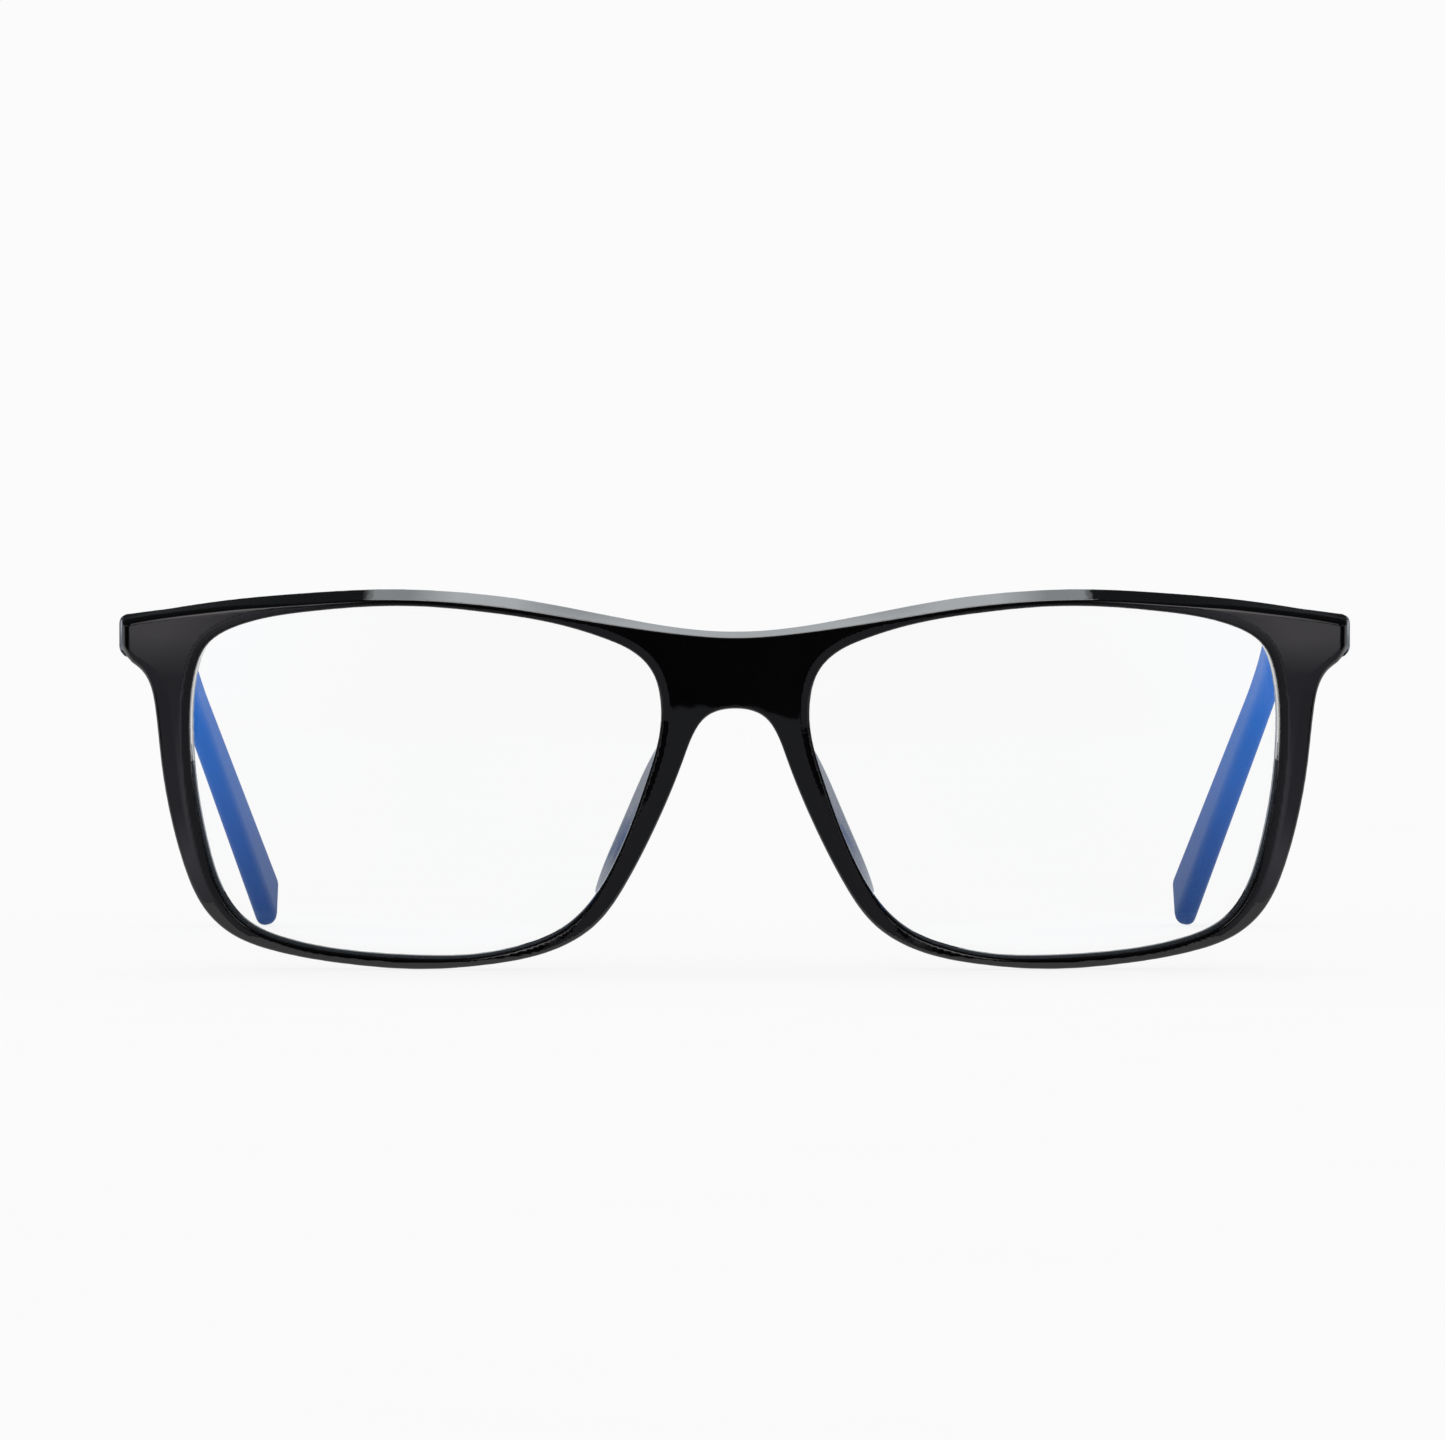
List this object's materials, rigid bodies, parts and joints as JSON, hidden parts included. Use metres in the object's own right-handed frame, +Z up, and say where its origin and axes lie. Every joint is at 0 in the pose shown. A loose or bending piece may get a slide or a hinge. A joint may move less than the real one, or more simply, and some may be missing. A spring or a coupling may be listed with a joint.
{
  "type": "blue light glasses",
  "caption": "Rectangular full-rim glasses with a curved black front, clear lenses and matte blue temples that fold on barrel hinges.",
  "frame": {"origin": "centre of the object's depth and width, on the floor it stands on", "axes": "+X to the wearer's left, +Y back along the temples, +Z up; the front faces -Y"},
  "size_m": [0.14, 0.1496, 0.0436],
  "materials": {
    "black_gloss": "polished",
    "clear_lens": "coated clear",
    "pad_gloss": "polished",
    "hinge_metal": "satin",
    "screw_metal": "polished",
    "blue_matte": "satin",
    "wire_metal": "drawn"
  },
  "bodies": {
    "front": {"front_frame": "black_gloss", "lens_left": "clear_lens", "nose_pad_left": "pad_gloss", "front_hinge_left": "hinge_metal", "hinge_screw_left": "screw_metal", "front_leaf_screw_1_left": "screw_metal", "front_leaf_screw_2_left": "screw_metal", "lens_right": "clear_lens", "nose_pad_right": "pad_gloss", "front_hinge_right": "hinge_metal", "hinge_screw_right": "screw_metal", "front_leaf_screw_1_right": "screw_metal", "front_leaf_screw_2_right": "screw_metal"},
    "left_temple": {"temple_arm_left": "blue_matte", "temple_hinge_left": "hinge_metal", "core_wire_left": "wire_metal", "temple_leaf_screw_1_left": "screw_metal", "temple_leaf_screw_2_left": "screw_metal"},
    "right_temple": {"temple_arm_right": "blue_matte", "temple_hinge_right": "hinge_metal", "core_wire_right": "wire_metal", "temple_leaf_screw_1_right": "screw_metal", "temple_leaf_screw_2_right": "screw_metal"}
  },
  "joints": [
    {"name": "left_temple_fold", "type": "hinge", "parent": "front", "child": "left_temple", "pos_m": [0.0646, -0.05683, 0.0381], "axis": [0, 0, 1], "range_deg": [0, 89]},
    {"name": "right_temple_fold", "type": "hinge", "parent": "front", "child": "right_temple", "pos_m": [-0.0646, -0.05683, 0.0381], "axis": [0, 0, -1], "range_deg": [0, 80]}
  ]
}
